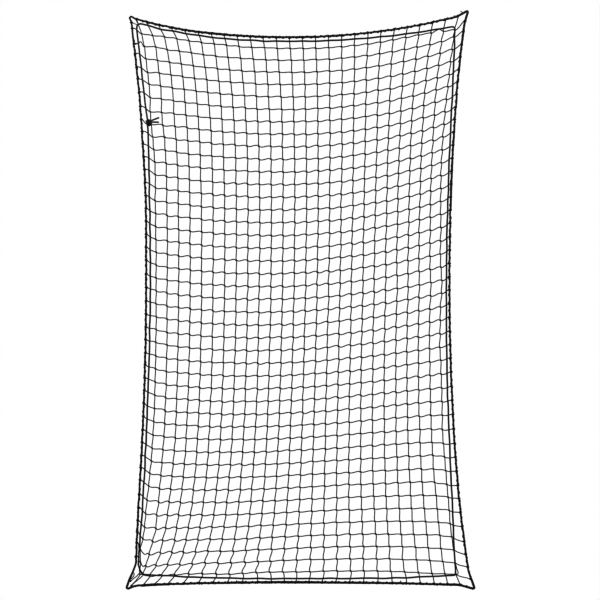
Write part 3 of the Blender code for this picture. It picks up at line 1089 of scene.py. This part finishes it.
# ---- lacing cord
# The knot's turns, how its axis tips up, and how many points its strands have
KNOT_TURNS = 3.1
KNOT_TILT = 12.0
KNOT_STEPS = 90
# How far the cord passes in front of the twines and behind them
WEAVE = 0.0041
# How far apart along the cord two crossings are at least
CROSSING_GAP = 0.016
ROUGH_STEP = 0.006
CORD_STEP = 0.0018
CORE_STEP = 0.0015
TURN_STEP = 0.0012
CORD_SWING = (24, 0.0005)
CORD_EASE = 20
# How far behind the knot's middle the cord's ends and the knot's turns lie
BEHIND_KNOT = 0.002
TURNS_BEHIND = 0.0012


def crossed(a, b):
    return a[..., 0] * b[..., 1] - a[..., 1] * b[..., 0]


def crossing_lengths(flat, along):
    """How far along the cord it crosses each twine that runs out to the rope."""
    a, b = flat[:-1], flat[1:]
    found = []
    for p, q in CROSSINGS:
        d, e = b - a, q - p
        cross = crossed(d, e)
        cross = np.where(np.abs(cross) < 1e-12, 1e-12, cross)
        ap = p - a
        s = crossed(ap, e) / cross
        t = crossed(ap, d) / cross
        hit = np.nonzero((s >= 0) & (s <= 1) & (t >= -0.15) & (t <= 1.15))[0]
        if len(hit):
            k = hit[0]
            found.append(along[k] + s[k] * (along[k + 1] - along[k]))
    found.sort()
    kept = []
    for place in found:
        if not kept or place - kept[-1] > CROSSING_GAP:
            kept.append(place)
    return kept


def make_lacing_cord():
    """Threaded in front of one twine and behind the next, all the way round."""
    flat = smooth_route(LACING_ROUTE, ROUGH_STEP)
    steps = np.linalg.norm(np.diff(flat, axis=0), axis=1)
    along = np.concatenate([[0.0], np.cumsum(steps)])
    places = crossing_lengths(flat, along)
    keys = np.array([0.0, *places, along[-1]])
    weave = [WEAVE if k % 2 else -WEAVE for k in range(len(places))]
    depths = np.array([KNOT_Y + BEHIND_KNOT, *weave, KNOT_Y + BEHIND_KNOT])
    path = hang(flat)
    path[:, 1] += swung(along, keys, depths)
    path = resampled(path, CORD_STEP)
    for axis in (0, 2):
        path[:, axis] += eased(wander(len(path), *CORD_SWING), CORD_EASE)
    bundle = Bundle()
    bundle.add(path, CORD_R, CORD_SIDES, CORD_LAY, lobe=CORD_GROOVE)
    bundle.build("cord", CORD, "lacing_cord", "lacing_cord")


def make_cord_knot():
    """Both ends of the cord tied together in one overhand knot, drawn up tight: their turns
    lie round the axis that the tails leave along, with a crossing turn over the front."""
    centre = hang(KNOT_CENTRE, KNOT_Y + TURNS_BEHIND)
    tilt = math.radians(KNOT_TILT)
    axis = np.array((math.cos(tilt), 0.0, math.sin(tilt)))
    above = np.array((-math.sin(tilt), 0.0, math.cos(tilt)))
    front = np.array((0.0, -1.0, 0.0))

    def place(along, up, out):
        return centre + np.outer(along, axis) + np.outer(up, above) + np.outer(out, front)

    bundle = Bundle()
    u = np.linspace(0.0, 1.0, KNOT_STEPS)
    half = KNOT_SIZE[0] / 2 - CORD_R
    tall = KNOT_SIZE[2] / 2 - CORD_R
    deep = KNOT_SIZE[1] / 2 - CORD_R
    turn = math.tau * KNOT_TURNS * u + 1.0
    swell = 0.55 + 0.5 * np.sin(math.pi * u) ** 0.8
    coil = place(half * (2 * u - 1), tall * swell * np.cos(turn), deep * swell * np.sin(turn))
    over = place(half * 1.05 * np.cos(math.pi * u), tall * 0.95 * np.sin(2.2 * u - 1.1),
                 deep * (0.4 + 1.0 * np.sin(math.pi * u)))
    under = place(-half * np.cos(math.pi * u), tall * 0.9 * np.sin(2.4 * u - 1.2),
                  -deep * (0.5 + 0.6 * np.sin(math.pi * u)))
    for shift in (-0.5, 0.5):
        level = np.full(KNOT_STEPS, shift * CORD_D)
        core = resampled(place(half * (1.9 * u - 0.95), level, 0.2 * deep * (1 - u)), CORE_STEP)
        bundle.add(core, CORD_R, CORD_SIDES, CORD_LAY, lobe=CORD_GROOVE)
    for path in (coil, over, under):
        turns = resampled(path, TURN_STEP)
        bundle.add(turns, CORD_R, CORD_SIDES, CORD_LAY, lobe=CORD_GROOVE, tips=(0.8, 0.8))
    bundle.build("cord_knot", CORD, "lacing_cord", "lacing_cord_knot")


def make_tails():
    """The free ends, held stiffly out by the knot, their cut tips melted round."""
    for name, (above, tip, lean, length) in TAILS.items():
        angle, back = math.radians(tip), math.radians(lean)
        start = np.array((KNOT_CENTRE[0] + TAIL_START, KNOT_CENTRE[1] + above))
        count = int(length / TURN_STEP) + 1
        reach = np.linspace(0.0, length, count)
        flat = start + np.outer(reach * math.cos(back), (math.cos(angle), math.sin(angle)))
        path = hang(flat, KNOT_Y)
        path[:, 1] += reach * math.sin(back)
        bundle = Bundle()
        bundle.add(path, TAIL_R, CORD_SIDES, CORD_LAY, lobe=TAIL_GROOVE, tips=(1.0, 0.75))
        tail = bundle.build(f"cord_tail_{name}", CORD, "lacing_cord", f"lacing_cord_tail_{name}")


TIE_STEPS = 14


def make_corner_tie():
    """The short twine from the rope's left leg to the lacing cord's corner."""
    height = CORNERS["top_left"][1] - CORNERS["bottom_left"][1]
    t = 1 - TIE_DROP / height
    start = side_point("left", t) + side_inwards("left", t) * (ROPE_R + ON_ROPE)
    share = np.linspace(0, 1, TIE_STEPS)
    flat = start + np.outer(share, np.array(TIE_CORD_END) - start)
    bundle = Bundle()
    add_lashing(bundle, hang(flat), TIE_R)
    add_lashing(bundle, [hitch_path("left", t)], HITCH_R)
    bundle.build("tie_at_corner", LASHING, "lashing_twine", "corner_tie")


# ---- studio
WHITE = (1.0, 1.0, 1.0, 1.0)
SEEN_STRENGTH = 1.0
LIT_STRENGTH = 1.2
# The soft lamps: place, diameter and power
LAMPS = {
    "key": ((-2.2, -3.6, 1.4), 2.2, 260.0),
    "fill": ((3.6, -3.2, 0.2), 2.4, 150.0),
    "back": ((1.6, 3.2, 1.6), 2.4, 150.0),
}
FLOOR_PLACE = (0.633, 0.0, -2.6)
FLOOR_RADIUS = 3.0
FLOOR_SIDES = 96
FLOOR_COLOUR = (0.06, 0.06, 0.06, 1.0)
FLOOR_GLOW = 0.82
FLOOR_FADE = (1.4, 2.9)


def make_world():
    world = bpy.data.worlds.new("studio")
    bpy.context.scene.world = world
    world.use_nodes = True
    tree = world.node_tree
    tree.nodes.clear()
    link = tree.links.new
    output = shader_node(tree, "ShaderNodeOutputWorld")
    seen = shader_node(tree, "ShaderNodeBackground", Color=WHITE, Strength=SEEN_STRENGTH)
    lit = shader_node(tree, "ShaderNodeBackground", Color=WHITE, Strength=LIT_STRENGTH)
    mix = shader_node(tree, "ShaderNodeMixShader")
    path = shader_node(tree, "ShaderNodeLightPath")
    link(path.outputs["Is Camera Ray"], mix.inputs[0])
    link(lit.outputs[0], mix.inputs[1])
    link(seen.outputs[0], mix.inputs[2])
    link(mix.outputs[0], output.inputs[0])
    bpy.context.scene.view_settings.view_transform = "Raw"


def make_lamps():
    for name, (place, size, power) in LAMPS.items():
        data = bpy.data.lights.new(name, "AREA")
        data.shape = "DISK"
        data.size = size
        data.energy = power
        lamp = bpy.data.objects.new(name, data)
        lamp.location = place
        aim = np.array(NET_MIDDLE) - np.array(place)
        level = math.hypot(aim[0], aim[1])
        lamp.rotation_euler = (math.atan2(level, -aim[2]), 0.0, math.atan2(-aim[0], aim[1]))
        bpy.context.scene.collection.objects.link(lamp)


def floor_material():
    """Pale and evenly lit, and clear towards the rim."""
    material = bpy.data.materials.new("pale_floor")
    material.use_nodes = True
    tree = material.node_tree
    tree.nodes.clear()
    link = tree.links.new
    output = shader_node(tree, "ShaderNodeOutputMaterial")
    floor = shader_node(tree, "ShaderNodeBsdfDiffuse", Color=FLOOR_COLOUR)
    glow = shader_node(tree, "ShaderNodeEmission", Color=WHITE, Strength=FLOOR_GLOW)
    lit = shader_node(tree, "ShaderNodeAddShader")
    clear = shader_node(tree, "ShaderNodeBsdfTransparent")
    mix = shader_node(tree, "ShaderNodeMixShader")
    place = shader_node(tree, "ShaderNodeTexCoord")
    length = shader_node(tree, "ShaderNodeVectorMath")
    length.operation = "LENGTH"
    near, far = FLOOR_FADE
    fade = shader_node(tree, "ShaderNodeMapRange", From_Min=near, From_Max=far)
    fade.interpolation_type = "SMOOTHSTEP"
    link(place.outputs["Object"], length.inputs[0])
    link(length.outputs["Value"], fade.inputs["Value"])
    link(floor.outputs[0], lit.inputs[0])
    link(glow.outputs[0], lit.inputs[1])
    link(fade.outputs[0], mix.inputs[0])
    link(lit.outputs[0], mix.inputs[1])
    link(clear.outputs[0], mix.inputs[2])
    link(mix.outputs[0], output.inputs[0])
    return material


def make_floor():
    """A pale disc under the hung net, fading into the white around it."""
    turns = [math.tau * k / FLOOR_SIDES for k in range(FLOOR_SIDES)]
    ring = [(FLOOR_RADIUS * math.cos(a), FLOOR_RADIUS * math.sin(a), 0.0) for a in turns]
    mesh = bpy.data.meshes.new("floor")
    mesh.from_pydata(ring, [], [tuple(range(FLOOR_SIDES))])
    mesh.materials.append(floor_material())
    obj = bpy.data.objects.new("floor", mesh)
    obj.location = FLOOR_PLACE
    bpy.context.scene.collection.objects.link(obj)


make_camera()
make_tails()
make_netting()
make_border_rope()
make_lashings()
make_lacing_cord()
make_cord_knot()
make_corner_tie()
make_world()
make_lamps()
make_floor()

bpy.context.view_layer.update()
